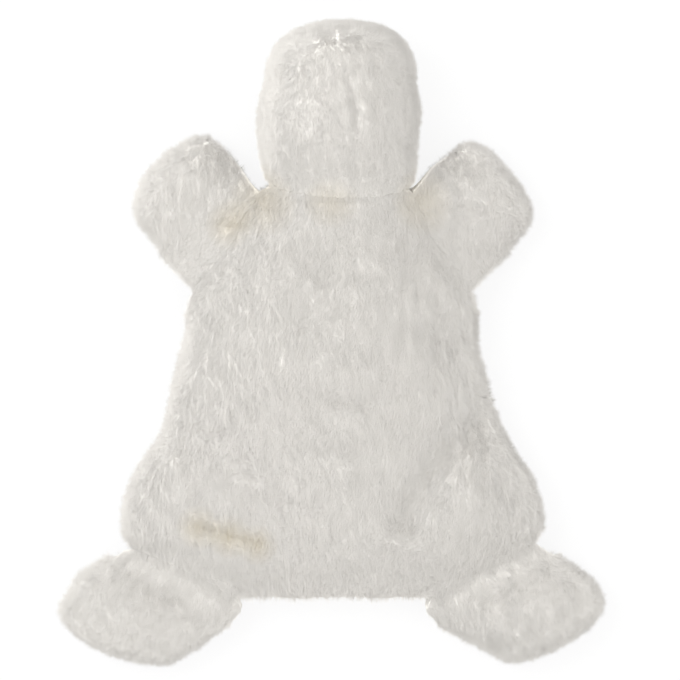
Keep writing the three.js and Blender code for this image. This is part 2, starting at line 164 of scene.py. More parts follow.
class PlushSettings(bpy.types.PropertyGroup):
    """The plush cloth and its pile."""
    skin_inset: bpy.props.FloatProperty(
        name="Skin inset", description="How far the cloth lies inside the solid's surface",
        default=2.0 * MM, unit="LENGTH")
    pile_length: bpy.props.FloatProperty(
        name="Pile length", description="Length of a tuft on the body", default=3.6 * MM, unit="LENGTH")
    pile_width: bpy.props.FloatProperty(
        name="Tuft width", description="Width of a tuft at its root", default=0.26 * MM, unit="LENGTH")
    pile_lift: bpy.props.FloatProperty(
        name="Pile lift", description="How far the pile stands up from the cloth",
        default=math.radians(38), subtype="ANGLE")
    tufts_per_mm2: bpy.props.FloatProperty(
        name="Tufts per mm2", description="Tufts on a square millimetre of the back", default=5.2)
    white: bpy.props.FloatVectorProperty(
        name="Plush white", description="Colour of the plush", subtype="COLOR", size=3,
        default=(0.95, 0.922, 0.873))
    # The fold beige is painted shade: a darker warm colour laid into the deep folds, where shade falls
    beige: bpy.props.FloatVectorProperty(
        name="Fold beige", description="Colour of the plush deep in its folds", subtype="COLOR", size=3,
        default=(0.80, 0.72, 0.56))
    seed: bpy.props.IntProperty(
        name="Seed", description="Added to every pile's own seed, to grow another like it", default=0)


class StageSettings(bpy.types.PropertyGroup):
    """The camera and the lamps."""
    view_width: bpy.props.FloatProperty(
        name="View width", description="Width that the picture takes in", default=0.340, unit="LENGTH")
    camera_height: bpy.props.FloatProperty(
        name="Camera height", description="Height of the camera over the surface", default=1.9,
        unit="LENGTH")
    key_energy: bpy.props.FloatProperty(
        name="Key light", description="Strength of the light from the upper left", default=9.6)
    fill_strength: bpy.props.FloatProperty(
        name="Fill light", description="Strength of the light from all round", default=1.07)


# Smooth curves and noise

def station_curve(stations, along, names):
    """A smooth curve through the stations' values, as a function of the named distance."""
    places = np.array([station[along] for station in stations], float)
    values = np.array([[station[name] for name in names] for station in stations], float)
    slopes = np.empty_like(values)
    slopes[1:-1] = (values[2:] - values[:-2]) / (places[2:] - places[:-2])[:, None]
    slopes[0] = (values[1] - values[0]) / (places[1] - places[0])
    slopes[-1] = (values[-1] - values[-2]) / (places[-1] - places[-2])

    def at(place):
        place = np.clip(np.asarray(place, float), places[0], places[-1])
        i = np.clip(np.searchsorted(places, place, side="right") - 1, 0, len(places) - 2)
        step = places[i + 1] - places[i]
        t = ((place - places[i]) / step)[..., None]
        step = step[..., None]
        low, high = values[i], values[i + 1]
        return (low * (1 + 2 * t) * (1 - t) ** 2 + slopes[i] * step * t * (1 - t) ** 2
                + high * t * t * (3 - 2 * t) + slopes[i + 1] * step * t * t * (t - 1))

    return at


def smoothstep(value, low, high):
    """0 up to low, 1 from high on, and a soft step between."""
    t = np.clip((value - low) / (high - low), 0, 1)
    return t * t * (3 - 2 * t)


def soft_noise(points, size, seed, waves=9):
    """A smooth random field, about -1 to 1, whose lumps are about size across (a number or three)."""
    random = np.random.default_rng(seed)
    directions = random.normal(size=(waves, 3))
    directions /= np.linalg.norm(directions, axis=1)[:, None]
    rates = 2 * math.pi * random.uniform(0.6, 1.4, waves)
    phases = random.uniform(0, 2 * math.pi, waves)
    scaled = points / np.asarray(size, float)
    total = np.zeros(len(points))
    for direction, rate, phase in zip(directions, rates, phases):
        total += np.sin(scaled @ direction * rate + phase)
    return total / math.sqrt(waves)


# Meshes

def new_object(name, vertices, faces, uv=None, normals=None):
    """A mesh object in metres from points in millimetres, with its own flat map and normals."""
    mesh = bpy.data.meshes.new(name)
    vertices = np.asarray(vertices, np.float32) * MM
    faces = np.asarray(faces, np.int32)
    count, sides = faces.shape
    mesh.vertices.add(len(vertices))
    mesh.vertices.foreach_set("co", vertices.ravel())
    mesh.loops.add(count * sides)
    mesh.loops.foreach_set("vertex_index", faces.ravel())
    mesh.polygons.add(count)
    mesh.polygons.foreach_set("loop_start", np.arange(0, count * sides, sides, dtype=np.int32))
    mesh.polygons.foreach_set("use_smooth", np.full(count, True))
    mesh.update(calc_edges=True)
    if uv is not None:
        layer = mesh.uv_layers.new(name="OFBake")
        layer.data.foreach_set("uv", np.asarray(uv, np.float32).ravel())
    if normals is not None:
        mesh.normals_split_custom_set_from_vertices(normals.astype(np.float32))
    piece = bpy.data.objects.new(name, mesh)
    bpy.context.scene.collection.objects.link(piece)
    return piece


def between(near, far, around):
    """The triangles between two rings of points, given the number of each ring's first point."""
    ring = np.arange(around)
    after = (ring + 1) % around
    return [np.column_stack([near + ring, far + ring, near + after]),
            np.column_stack([near + after, far + ring, far + after])]


def loft(rings, start, end):
    """Points and triangles of a closed skin over rings of points, with a pole at each end."""
    count, around = rings.shape[:2]
    points = np.vstack([start[None], rings.reshape(-1, 3), end[None]])
    ring = np.arange(around)
    after = (ring + 1) % around
    triangles = [np.column_stack([np.zeros(around, int), 1 + ring, 1 + after])]
    for near in range(1, 1 + (count - 1) * around, around):
        triangles += between(near, near + around, around)
    last = 1 + (count - 1) * around
    pole = np.full(around, len(points) - 1)
    triangles.append(np.column_stack([last + ring, pole, last + after]))
    return points, np.vstack(triangles)


def flat_map(triangles, around, ring_count, first=1):
    """Where each corner of a loft lies on its flat map: round it, and along it, cut along one line."""
    index = triangles - first
    poles = (index < 0) | (index >= around * ring_count)
    turn = np.where(poles, np.nan, index % around / around)
    along = (index // around + 1) / (ring_count + 1)
    over = np.nanmax(turn, axis=1) - np.nanmin(turn, axis=1) > 0.5
    turn[over] = np.where(turn[over] < 0.5, turn[over] + 1, turn[over])
    middle = np.nanmean(turn, axis=1)[:, None]
    turn = np.where(poles, middle, turn)
    jump = along.max(axis=1) - along.min(axis=1) > 0.5
    along[jump] = np.where(along[jump] < 0.5, 1, along[jump])
    return np.stack([turn, along], axis=-1) * 0.98 + 0.01


def section(around, middle, half, top, bottom, fullness, under=None):
    """One swelled ring as (across, up) pairs: an ellipse made fuller, from its right side round."""
    turn = np.linspace(0, 2 * math.pi, around, endpoint=False)
    across, up = np.cos(turn), np.sin(turn)
    power = np.where(up > 0, 2 / fullness, 2 / (under or fullness))
    height = np.where(up > 0, top, bottom)
    return np.column_stack([
        middle + half * np.sign(across) * np.abs(across) ** power,
        height * np.sign(up) * np.abs(up) ** power,
    ])


def vertex_normals(points, triangles):
    """Outward normals at the points of a closed mesh."""
    corners = points[triangles]
    facets = np.cross(corners[:, 1] - corners[:, 0], corners[:, 2] - corners[:, 0])
    normals = np.zeros_like(points)
    for k in range(3):
        np.add.at(normals, triangles[:, k], facets)
    return normals / np.maximum(np.linalg.norm(normals, axis=1)[:, None], 1e-12)


# The height at which the cloth rests, and how far over that it begins to be pressed flat
REST_GAP = 0.4
REST_FEEL = 1.6


def rest_on_surface(points, floor=REST_GAP, feel=REST_FEEL):
    """Presses what reaches below the surface up onto it, softly, so that it lies flat."""
    low = points[:, 2] < floor + feel
    depth = (points[low, 2] - floor - feel) / feel
    points[low, 2] = floor + feel * np.exp(depth)
    return points


# The cloth between the neck and the wings, which fills the body out to both sides
SHOULDER_REACH = (48, 72)
SHOULDER_LEFT = 11.0
SHOULDER_RIGHT = 7.0

body_curve = station_curve(BODY_SHAPE, "along", ("left", "right", "top"))


def body_sides(y):
    """The body's left and right side and the height of its back, at a place along it."""
    left, right, top = np.moveaxis(body_curve(y - HEM_AT), -1, 0)
    wider = smoothstep(y, *SHOULDER_REACH)
    return -left - SHOULDER_LEFT * wider, right + SHOULDER_RIGHT * wider, top


# The wall of the plush shell, and how the body is domed and narrowed at its upper end
SHELL_WALL = 3.6
NECK_END = 80.0
NECK_DOME = 10.0
NECK_NARROWING = 18.0


def body_form(inset, start, end, around, rings):
    """The body's form between two places along it, in rings, with a rounded upper end."""
    places = np.linspace(start, end, rings)
    points = []
    for y in places:
        left, right, top = body_sides(y)
        closed = max(y - end + NECK_DOME, 0) / NECK_DOME
        shrink = math.sqrt(max(1 - closed ** 2, 0))
        half = (right - left) / 2 - inset
        height = top - BODY_SEAM_HEIGHT - inset
        depth = BODY_BELLY_DEPTH - inset
        ring = section(around, (left + right) / 2, half - (1 - shrink) * NECK_NARROWING,
                       height * shrink, depth * shrink, BODY_BACK_FULLNESS, BODY_BELLY_FULLNESS)
        points.append(np.column_stack([ring[:, 0], np.full(around, y), ring[:, 1] + BODY_SEAM_HEIGHT]))
    return np.array(points)


def torso_layer(inset, start, end, around, rings):
    """One layer of the body, closed at both ends, with the relief of the whole body in it."""
    form = body_form(inset, start, end, around, rings)
    points, triangles = loft(form, form[0].mean(axis=0), form[-1].mean(axis=0))
    shaped = sculpt("torso", points, triangles)
    return rest_on_surface(shaped, REST_GAP + inset), triangles


def hinge_frame(name):
    """A limb's hinge in millimetres, and its directions across and out."""
    joint = next(j for j in frame["joints"] if j["name"] == LIMBS[name]["joint"])
    across = np.array(joint["axis"], float)
    out = np.cross(UP, across)
    return np.array(joint["pos_m"]) / MM, across, out


def limb_curve(limb):
    """The limb's two edges and its heights over and under its seam, at a distance out."""
    return station_curve(limb["stations"], "out", ("low", "high", "top", "bottom"))


def limb_fullness(limb, out):
    """How full the limb's section is: an ellipse at its root, swelling out from there."""
    return 2 + (limb["fullness"] - 2) * np.clip(out / limb["stations"][1]["out"], 0, 1)


def limb_rings(limb, inset, around, root_rings=10, middle_rings=26, tip_rings=16):
    """The limb's form as rings in its own frame: across, out and up from its hinge."""
    curve = limb_curve(limb)
    side = limb["side"]
    rings = []

    def ring(out, *shape):
        flat = section(around, *shape)
        rings.append(np.column_stack([flat[:, 0], np.full(around, out), flat[:, 1]]))

    radius = limb["root_radius"] - inset
    low, high, _, _ = curve(0)
    root_middle = side * (low + high) / 2
    for i in range(1, root_rings + 1):
        turn = i / root_rings * math.pi / 2
        share = math.sin(turn)
        half = ((high - low) / 2 - inset) * share
        ring(-radius * math.cos(turn), root_middle, half, radius * share, radius * share, 2)
    last_out = limb["stations"][-1]["out"]
    for i in range(1, middle_rings + 1):
        out = last_out * i / middle_rings
        low, high, top, bottom = curve(out)
        ring(out, side * (low + high) / 2, (high - low) / 2 - inset, top - inset, bottom - inset,
             limb_fullness(limb, out))
    low, high, top, bottom = curve(last_out)
    middle, half = side * (low + high) / 2, (high - low) / 2 - inset
    tip = limb["tip"]
    tip_out, lift = tip["out"] - inset, tip["lift"]
    for i in range(1, tip_rings):
        turn = i / tip_rings * math.pi / 2
        gone = math.sin(turn) ** (2 / limb["tip_fullness"])
        left = math.cos(turn) ** (2 / limb["tip_fullness"])
        ring(last_out + (tip_out - last_out) * gone, middle + (side * tip["across"] - middle) * gone,
             half * left, lift + (top - inset - lift) * left, -lift + (bottom - inset + lift) * left,
             limb["fullness"])
    start = np.array([root_middle, -radius, 0])
    end = np.array([side * tip["across"], tip_out, lift])
    return np.array(rings), start, end


def standing(points, hinge, out):
    """Moves points from a limb's own frame to where the limb is, reaching out from its hinge."""
    across = np.cross(out, UP)
    return hinge + points[:, :1] * across + points[:, 1:2] * out + points[:, 2:] * UP


def limb_form(name, inset, around):
    """The limb's form where it is, as points and triangles."""
    hinge, _, out = hinge_frame(name)
    points, triangles = loft(*limb_rings(LIMBS[name], inset, around))
    return standing(points, hinge, out), triangles


# Relief: how the slack cloth dents, folds and puckers, read off the picture

def path_distance(points, path):
    """Distance in plan from points to a path of (x, y), and how far along it the nearest place is."""
    best = np.full(len(points), np.inf)
    along = np.zeros(len(points))
    legs = list(zip(path[:-1], path[1:]))
    for i, (a, b) in enumerate(legs):
        a, b = np.array(a, float), np.array(b, float)
        leg = b - a
        t = np.clip(((points[:, :2] - a) @ leg) / (leg @ leg), 0, 1)
        away = np.linalg.norm(points[:, :2] - a - t[:, None] * leg, axis=1)
        nearer = away < best
        best[nearer] = away[nearer]
        along[nearer] = (i + t[nearer]) / len(legs)
    return best, along


def crease(points, path, width, depth, fade=0.25):
    """A fold along a path, or a ridge where depth is negative, fading at its ends."""
    away, along = path_distance(points, path)
    ends = smoothstep(along, 0, fade) * smoothstep(1 - along, 0, fade)
    return -depth * ends * np.exp(-(away / width) ** 2)


def dent(points, place, size, depth, turn=0.0):
    """A soft hollow, or a swelling where depth is negative."""
    c, s = math.cos(math.radians(turn)), math.sin(math.radians(turn))
    dx, dy = points[:, 0] - place[0], points[:, 1] - place[1]
    across, along = (dx * c + dy * s) / size[0], (dy * c - dx * s) / size[1]
    return -depth * np.exp(-(across ** 2 + along ** 2))


def cloth_relief(points):
    """Every hollow, ridge and crease of the slack cloth, the same for all the skins they cross."""
    return (back_relief(points) + right_side_relief(points) + hip_relief(points)
            + head_relief(points) + wing_relief(points))


def back_relief(points):
    """The middle of the back and its left side."""
    relief = dent(points, (-19, 10), size=(9, 6), depth=1.4)
    relief += crease(points, [(-6, -29), (8, -29.5), (24, -31.5)], width=3.2, depth=1.1)
    relief += crease(points, [(-72, -40), (-61, -44), (-50, -43)], width=2.5, depth=1.2)
    relief += crease(points, [(-52, -62), (-44, -64), (-34, -68)], width=2.5, depth=1.2)
    relief += crease(points, [(-28, -78), (-19, -79), (-8, -83)], width=2.5, depth=1.0)
    relief += crease(points, [(-74, -88), (-50, -95), (-29, -100)], width=3.0, depth=2.2)
    return relief


def right_side_relief(points):
    """The long fold from the waist down over the right thigh, and the hollow over it."""
    relief = dent(points, (54, 6), size=(14, 10), depth=5.0)
    relief += dent(points, (76, -28), size=(10, 10), depth=5.4)
    relief += crease(points, [(77, -26), (58, -52), (39, -79), (31, -100)], width=10, depth=7.4, fade=0.2)
    relief += dent(points, (68, -74), size=(20, 13), depth=-3.6, turn=-52)
    relief += crease(points, [(33, 64), (44, 43), (54, 21)], width=6, depth=-1.2)
    return relief


def hip_relief(points):
    """The soft hollows over the feet, and the ridges of the left hip."""
    left = [(-108, -104), (-82, -110), (-60, -123), (-47, -134)]
    right = [(108, -100), (84, -107), (66, -117), (50, -130)]
    relief = sum(crease(points, path, width=8, depth=2.6, fade=0.15) for path in (left, right))
    relief += crease(points, [(-84, -54), (-76, -66), (-70, -80)], width=4, depth=-1.2)
    return relief


def head_relief(points):
    """The seam that puckers the crown, and the faint seam of the neck."""
    relief = crease(points, [(5, 136), (8, 126), (11, 112), (12.5, 97)], width=2.6, depth=1.8)
    relief += crease(points, [(-24, 71), (0, 69), (30, 71)], width=2.4, depth=0.5)
    relief += dent(points, (36, 112), size=(12, 30), depth=5.0)
    return relief


def wing_relief(points):
    """The wings' dimples, and the folds where they are sewn to the shoulders."""
    relief = dent(points, (-67, 72), size=(8, 7), depth=1.8)
    relief += crease(points, [(-61, 60.5), (-50, 58), (-38, 57.5)], width=2.4, depth=1.4)
    relief += crease(points, [(54, 67), (66, 67.5), (78, 66)], width=3.0, depth=1.4)
    return relief


# The unevenness of slack plush: broad lumps, small puckers and the rows of its knit
CLOTH_LUMPS = (
    dict(height=0.7, size=(34, 40, 30), seed=11),
    dict(height=0.22, size=(9, 13, 9), seed=12),
    dict(height=0.12, size=(2.6, 16, 3), seed=13),
)


def cloth_lumps(points):
    """How far the uneven cloth swells out at each point."""
    return sum(lump["height"] * soft_noise(points, lump["size"], lump["seed"]) for lump in CLOTH_LUMPS)


# Joins between forms, in millimetres

# How softly the cloth of two forms runs together
SOFT_JOINS = {
    ("torso", "head"): 22,
    ("torso", "wing_left"): 36,
    ("torso", "wing_right"): 36,
    ("torso", "foot_left"): 30,
    ("torso", "foot_right"): 30,
    ("head", "wing_left"): 22,
    ("head", "wing_right"): 22,
}
# Pile begins to thin out where a neighbour lies this much higher
COVERED_BY = 2.5
# Heights over a form's seam between which its upper side begins to move, and to take relief
OVER_THE_SEAM = (-6.0, 0.0)
RELIEF_OVER_SEAM = (-2.0, 8.0)
# Keeps a point's place in plan and drops its height
FLAT = np.array([1.0, 1.0, 0.0])


def section_height(across, half, top, fullness):
    """How high a swelled section stands over its seam, falling away beyond its edges."""
    share = np.abs(across) / half
    inside = top * np.maximum(1 - share ** fullness, 0) ** (1 / fullness)
    return np.where(share < 1, inside, (1 - share) * half)


def torso_height(points, inset):
    """The height of the body's back over each point, going on downwards beyond its sides."""
    y = np.clip(points[:, 1], HEM_AT, NECK_END)
    left, right, top = body_sides(y)
    closed = np.clip((y - NECK_END + NECK_DOME) / NECK_DOME, 0, 1)
    shrink = np.sqrt(1 - closed ** 2)
    rise = (top - BODY_SEAM_HEIGHT - inset) * shrink
    half = (right - left) / 2 - inset - (1 - shrink) * NECK_NARROWING
    height = section_height(points[:, 0] - (left + right) / 2, half, rise, BODY_BACK_FULLNESS)
    return BODY_SEAM_HEIGHT + height - np.abs(points[:, 1] - y)


def limb_height(name, points, inset):
    """The height of a limb's upper side over each point, going on downwards beyond its edge."""
    limb = LIMBS[name]
    hinge, across_way, out_way = hinge_frame(name)
    across, reach = (points - hinge) @ across_way, (points - hinge) @ out_way
    last, tip = limb["stations"][-1]["out"], limb["tip"]
    radius, tip_out = limb["root_radius"] - inset, tip["out"] - inset
    out = np.clip(reach, -radius, tip_out)
    low, high, top, _ = np.moveaxis(limb_curve(limb)(out), -1, 0)
    root = np.sqrt(1 - np.clip(-out / radius, 0, 1) ** 2)
    gone = np.clip((out - last) / (tip_out - last), 0, 1)
    left = (1 - gone ** limb["tip_fullness"]) ** (1 / limb["tip_fullness"])
    middle = limb["side"] * (low + high) / 2
    middle = middle + (limb["side"] * tip["across"] - middle) * gone
    half = np.maximum(((high - low) / 2 - inset) * left * root, 1)
    top = tip["lift"] * (1 - left) + (top - inset) * root * left
    height = section_height(across - middle, half, top, limb_fullness(limb, out))
    return hinge[2] + height - np.abs(reach - out)


def skin_inset():
    """How far the skins lie inside the solids, in millimetres."""
    return bpy.context.scene.plush.skin_inset / MM


def form_height(name, points, inset):
    """The height of a skin over each point, before its joins and relief."""
    return torso_height(points, inset) if name == "torso" else limb_height(name, points, inset)


def neighbours(name):
    """The forms that a form runs into, each with the softness of their join."""
    for (first, second), soft in SOFT_JOINS.items():
        if name in (first, second):
            yield (second if name == first else first), soft


def join_lift(name, points, inset):
    """How far a form's upper side rises to run smoothly into its neighbours."""
    lift = np.zeros(len(points))
    for other, soft in neighbours(name):
        apart = np.abs(points[:, 2] - form_height(other, points, inset))
        lift += soft / 4 * np.maximum(1 - apart / soft, 0) ** 2
    return lift


# The plan of the drawn cloth: its reach, the height that counts as inside, and how far it softens
PLAN_HALF_WIDTH = 150
PLAN_HALF_LENGTH = 175
INSIDE_HEIGHT = 6.0
JOIN_SPREAD = 7.0
# The cloth leaves the plan as two forms part in height, and near the puppet's outline
JOIN_FADE = (20, 46)
WELL_INSIDE = (0.55, 0.95)


def softened(plan, spread):
    """A plan of heights at every millimetre, softened over a distance both ways."""
    reach = np.arange(-int(3 * spread), int(3 * spread) + 1)
    weights = np.exp(-(reach / spread) ** 2 / 2)
    for _ in range(2):
        plan = np.apply_along_axis(np.convolve, 0, plan, weights / weights.sum(), mode="same").T
    return plan


@functools.cache
def draped_plan(inset):
    """The height of cloth drawn softly over the joins, and how much of the puppet is around."""
    across = np.arange(-PLAN_HALF_WIDTH, PLAN_HALF_WIDTH + 1.0)
    along = np.arange(-PLAN_HALF_LENGTH, PLAN_HALF_LENGTH + 1.0)
    x, y = np.meshgrid(across, along, indexing="ij")
    places = np.column_stack([x.ravel(), y.ravel(), np.zeros(x.size)])
    height = np.full(x.size, -np.inf)
    drawn = height.copy()
    for name in ("torso", *LIMBS):
        places[:, 2] = form_height(name, places, inset)
        higher = places[:, 2] > height
        height = np.where(higher, places[:, 2], height)
        drawn = np.where(higher, places[:, 2] + join_lift(name, places, inset), drawn)
    inside = (height > INSIDE_HEIGHT).reshape(x.shape).astype(float)
    around = softened(inside, JOIN_SPREAD)
    drawn = softened(inside * drawn.reshape(x.shape), JOIN_SPREAD) / np.maximum(around, 1e-6)
    return drawn, around


def on_plan(plan, points):
    """The value of a plan at points between its millimetres."""
    x = np.clip(points[:, 0] + PLAN_HALF_WIDTH, 0, plan.shape[0] - 1.001)
    y = np.clip(points[:, 1] + PLAN_HALF_LENGTH, 0, plan.shape[1] - 1.001)
    i, j = x.astype(int), y.astype(int)
    u, v = x - i, y - j
    near = plan[i, j] * (1 - u) + plan[i + 1, j] * u
    far = plan[i, j + 1] * (1 - u) + plan[i + 1, j + 1] * u
    return near * (1 - v) + far * v


def own_and_neighbours(name, points):
    """The height of a skin over each point, and that of the highest of its neighbours."""
    inset = skin_inset()
    over = np.max([form_height(other, points, inset) for other, _ in neighbours(name)], axis=0)
    return form_height(name, points, inset), over


def joining(name, points):
    """How much of the drawn cloth a form follows, and the height of the highest form there."""
    own, over = own_and_neighbours(name, points)
    near = 1 - smoothstep(np.abs(own - over), *JOIN_FADE)
    inside = smoothstep(on_plan(draped_plan(skin_inset())[1], points), *WELL_INSIDE)
    return near * inside, np.maximum(own, over)


def drape(name, points):
    """How far a form's upper side moves to run smoothly into its neighbours."""
    share, highest = joining(name, points)
    return (on_plan(draped_plan(skin_inset())[0], points) - highest) * share


def drawn_normals(name, points, normals):
    """The normals of the cloth as it is drawn over the joins, and a skin's own elsewhere."""
    drawn = draped_plan(skin_inset())[0]
    slopes = [on_plan(drawn, points + step) - on_plan(drawn, points - step) for step in np.eye(3)[:2]]
    over_joins = unit(np.column_stack([-slopes[0] / 2, -slopes[1] / 2, np.ones(len(points))]))
    upper = smoothstep(points[:, 2] - seam_height(name), *OVER_THE_SEAM)
    share = (joining(name, points)[0] * upper)[:, None]
    return unit(normals * (1 - share) + over_joins * share)


def uncovered(name, points):
    """1 where a form's upper side shows, falling to nothing where a neighbour lies over it."""
    own, over = own_and_neighbours(name, points)
    return 1 - smoothstep(over - own, COVERED_BY, 2 * COVERED_BY)


def seam_height(name):
    """The height of the seam that parts a form's upper side from its underside."""
    return BODY_SEAM_HEIGHT if name == "torso" else hinge_frame(name)[0][2]


def sculpt(name, points, triangles):
    """Moves a form's upper side by its joins, relief and lumps, alike for skins in one place."""
    upper = smoothstep(points[:, 2] - seam_height(name), *OVER_THE_SEAM)
    lift = drape(name, points)
    points = points + UP * (lift * upper)[:, None]
    relief = cloth_relief(points) * smoothstep(points[:, 2] - seam_height(name), *RELIEF_OVER_SEAM)
    lumps = cloth_lumps(points * FLAT)
    swelling = lumps * (1 - smoothstep(np.abs(lift), 0, 1))
    sideways = vertex_normals(points, triangles) * FLAT * swelling[:, None]
    return points + UP * (relief + lumps * upper)[:, None] + sideways


# Pile, in millimetres

# Which way the pile of each form lies, and the seed that it grows from
PILE_LAYS = {
    "torso": (0, -1, 0),
    "head": (0, -1, 0),
    "wing_left": (-0.35, -1, 0),
    "wing_right": (0.35, -1, 0),
    "foot_left": (-0.5, -1, 0),
    "foot_right": (0.5, -1, 0),
}
PILE_SEEDS = {"torso": 21, "head": 31, "wing_left": 41, "wing_right": 51, "foot_left": 61, "foot_right": 71}


def sample_surface(points, triangles, density, random):
    """Random places on a mesh with their normals; density gives tufts per mm2 by place and facing."""
    corners = points[triangles]
    cross = np.cross(corners[:, 1] - corners[:, 0], corners[:, 2] - corners[:, 0])
    area = np.linalg.norm(cross, axis=1) / 2
    facing = cross / np.maximum(2 * area[:, None], 1e-9)
    wanted = area * density(corners.mean(axis=1), facing)
    count = int(wanted.sum())
    face = random.choice(len(triangles), count, p=wanted / wanted.sum())
    a, b = random.random(count), random.random(count)
    over = a + b > 1
    a[over], b[over] = 1 - a[over], 1 - b[over]
    normals = vertex_normals(points, triangles)[triangles[face]]
    weights = np.column_stack([1 - a - b, a, b])[:, :, None]
    places = (corners[face] * weights).sum(axis=1)
    normal = (normals * weights).sum(axis=1)
    return places, normal / np.linalg.norm(normal, axis=1)[:, None]


def unit(vectors):
    """The vectors, each brought to the length 1."""
    return vectors / np.maximum(np.linalg.norm(vectors, axis=1)[:, None], 1e-9)


# How far the cloth has turned from level where its pile begins to turn outwards, and where it ends
RIM_TURN = (0.12, 0.6)


def turned_outwards(lay, normals):
    """The lay at each place, turned round towards the outside as the cloth turns down at a rim."""
    rim = smoothstep(1 - np.abs(normals[:, 2]), *RIM_TURN)
    turn = rim * np.arctan2(lay[0] * normals[:, 1] - lay[1] * normals[:, 0],
                            lay[0] * normals[:, 0] + lay[1] * normals[:, 1])
    c, s = np.cos(turn), np.sin(turn)
    return np.column_stack([lay[0] * c - lay[1] * s, lay[0] * s + lay[1] * c, np.zeros(len(turn))])


# Locks, groups and patches of tufts by their sizes, and how far they and single tufts stray
LOCK_SIZE = (14, 18, 14)
LOCK_SWIRL = 0.14
GROUP_SIZE = 3.4
GROUP_SWIRL = 0.12
PATCH_SIZE = (5, 9, 5)
PATCH_RAISE = 0.08
TUFT_RAISE = 0.06
TUFT_STRAY = 0.15
RIM_RAISE = 0.5


def comb(places, normals, lay, lift, seed):
    """The way each tuft points: along the lay, outwards at a rim, and up, in soft uneven locks."""
    random = np.random.default_rng(seed)
    lay = turned_outwards(lay, normals)
    tangent = lay - normals * (normals * lay).sum(axis=1)[:, None]
    sideways = np.cross(normals, unit(tangent))
    swirl = LOCK_SWIRL * soft_noise(places, LOCK_SIZE, seed + 1)
    swirl += GROUP_SWIRL * soft_noise(places, GROUP_SIZE, seed + 2)
    raised = PATCH_RAISE * soft_noise(places, PATCH_SIZE, seed + 3)
    raised += TUFT_RAISE * random.normal(size=len(places))
    loose = TUFT_STRAY * random.normal(size=places.shape)
    flat = np.linalg.norm(tangent, axis=1)
    forward = tangent * np.cos(lift)[:, None]
    upward = normals * (np.sin(lift) + raised + RIM_RAISE * (1 - flat))[:, None]
    return unit(forward + upward + sideways * swirl[:, None] + loose)


# How deep a tuft's root goes, its share of its own shading, and how far rims shade as if facing up
ROOT_DEPTH = 0.5
OWN_SHADE = 0.12
RIM_GLOW = 0.3


def tufts(places, normals, ways, lengths, widths):
    """One tapered three-sided tuft for each place: its points, triangles, flat map and normals."""
    count = len(places)
    helper = np.where(np.abs(ways[:, 2:]) < 0.9, UP, np.array([1.0, 0, 0]))
    across = unit(np.cross(helper, ways))
    over = np.cross(ways, across)
    points = np.empty((count, 4, 3))
    root = places - ways * ROOT_DEPTH
    for k in range(3):
        turn = 2 * math.pi * k / 3
        corner = across * math.cos(turn) + over * math.sin(turn)
        points[:, k] = root + corner * widths[:, None] / 2
    points[:, 3] = places + ways * lengths[:, None]
    shape = np.array([[0, 1, 3], [1, 2, 3], [2, 0, 3], [0, 2, 1]])
    triangles = (np.arange(count)[:, None, None] * 4 + shape).reshape(-1, 3)
    row = int(np.ceil(np.sqrt(count)))
    cell = np.stack([np.arange(count) % row, np.arange(count) // row], axis=-1)[:, None]
    corners = np.array([[0.1, 0.1], [0.9, 0.1], [0.5, 0.4], [0.5, 0.9]])
    uv = ((cell + corners) / row)[:, shape.ravel()]
    # The cloth's own normals, so that the pile shades as one soft surface
    own = unit((points - points.mean(axis=1, keepdims=True)).reshape(-1, 3)).reshape(count, 4, 3)
    soft = unit(normals + UP * (RIM_GLOW * (1 - normals[:, 2:])))
    shading = unit((soft[:, None] * (1 - OWN_SHADE) + own * OWN_SHADE).reshape(-1, 3))
    return points.reshape(-1, 3), triangles, uv, shading


MOST_TUFTS = 49000
# The underside by how far the cloth faces down; there the pile is thinner, flatter and shorter
UNDERSIDE = (0.2, 0.75)
UNDER_THINNER = 0.86
UNDER_FLATTER = 0.7
UNDER_SHORTER = 0.35
# Uneven lengths and widths, as shares of the full ones
LENGTH_PATCHES = 4
PATCH_UNEVEN = 0.18
TUFT_UNEVEN = 0.16
LENGTH_LIMITS = (0.35, 1.5)
WIDTH_LIMITS = (0.75, 1.25)
PILE_REST_GAP = 0.15
PILE_REST_FEEL = 1.4


def grow_pile(form, points, triangles, length=1.0):
    """Grows the pile of one skin, as one piece or, past the most tufts that one holds, several."""
    plush = bpy.context.scene.plush
    seed = PILE_SEEDS[form] + plush.seed
    random = np.random.default_rng(seed)
    dense = plush.tufts_per_mm2 * 1.0

    def density(places, facing):
        under = smoothstep(-facing[:, 2], *UNDERSIDE)
        shown = np.where(facing[:, 2] > 0, uncovered(form, places), 1)
        return dense * (1 - UNDER_THINNER * under) * shown

    places, normals = sample_surface(points, triangles, density, random)
    normals = drawn_normals(form, places, normals)
    under = smoothstep(-normals[:, 2], *UNDERSIDE)
    lift = plush.pile_lift * (1 - UNDER_FLATTER * under)
    ways = comb(places, normals, np.array(PILE_LAYS[form], float), lift, seed)
    full = plush.pile_length / MM * length
    patches = PATCH_UNEVEN * soft_noise(places, LENGTH_PATCHES, seed + 5)
    lengths = full * (1 + patches + TUFT_UNEVEN * random.normal(size=len(places)))
    shortest, longest = (limit * full for limit in LENGTH_LIMITS)
    lengths = np.clip(lengths, shortest, longest) * (1 - UNDER_SHORTER * under)
    widths = plush.pile_width / MM * random.uniform(*WIDTH_LIMITS, len(places))
    order = np.argsort(places[:, 0], kind="stable")
    pieces = []
    parts = int(np.ceil(len(places) / MOST_TUFTS))
    for i, chosen in enumerate(np.array_split(order, parts)):
        grown = (each[chosen] for each in (places, normals, ways, lengths, widths))
        points, triangles, uv, shading = tufts(*grown)
        rest_on_surface(points, PILE_REST_GAP, PILE_REST_FEEL)
        pieces.append(new_object(f"{form}_pile_{i + 1}", points, triangles, uv, shading))
    return pieces


# Shader nodes

